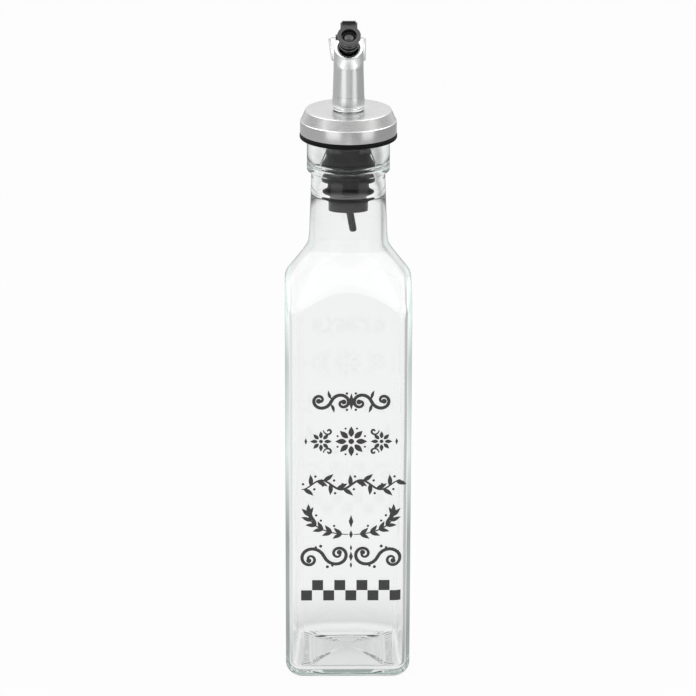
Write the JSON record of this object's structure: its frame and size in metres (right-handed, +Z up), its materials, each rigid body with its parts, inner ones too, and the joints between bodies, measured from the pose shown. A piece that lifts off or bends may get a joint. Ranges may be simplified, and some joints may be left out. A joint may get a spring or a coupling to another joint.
{
  "type": "oil and vinegar bottle",
  "caption": "Square clear glass table bottle for oil or vinegar, with a lift-out pourer: rubber-finned stopper, steel cap, bent spout and a hinged flip plug.",
  "frame": {"origin": "middle of the base, on the plane that the bottle stands on", "axes": "+Z up along the bottle's axis, -Y towards the printed front that the spout points over, +X to the right seen from the front"},
  "size_m": [0.0486, 0.0486, 0.2606],
  "materials": {
    "clear_glass": "clear, polished, with a faint green tint in the thick places",
    "satin_steel": "satin stainless steel with a fine speckle",
    "brushed_spout_steel": "semi-polished stainless steel, drawn lengthways",
    "steel_wire": "bright drawn wire",
    "black_plastic": "black moulded plastic, semi-gloss",
    "black_rubber": "black soft rubber, matt",
    "printed_ink": "charcoal ink printed on the glass"
  },
  "bodies": {
    "bottle": {"glass_bottle": "clear_glass"},
    "seal": {"sealing_gasket": "black_rubber"},
    "pourer": {"stopper_core": "black_plastic", "finned_sleeve": "black_rubber", "dome_cap": "satin_steel", "spout_collar": "brushed_spout_steel", "spout_tube": "brushed_spout_steel", "vent_tube": "black_plastic", "hinge_wire": "steel_wire"},
    "flap": {"flip_plug": "black_plastic"}
  },
  "joints": [
    {"name": "pourer_lift", "type": "slide", "parent": "bottle", "child": "seal", "axis": [0, 0, 1], "range_m": [0, 0.045]},
    {"name": "pourer_turn", "type": "hinge", "parent": "seal", "child": "pourer", "pos_m": [0, 0, 0.2155], "axis": [0, 0, 1], "continuous": true},
    {"name": "flap_swing", "type": "hinge", "parent": "pourer", "child": "flap", "pos_m": [0, 0.00172, 0.25225], "axis": [-1, 0, 0], "range_deg": [0, 75]}
  ]
}
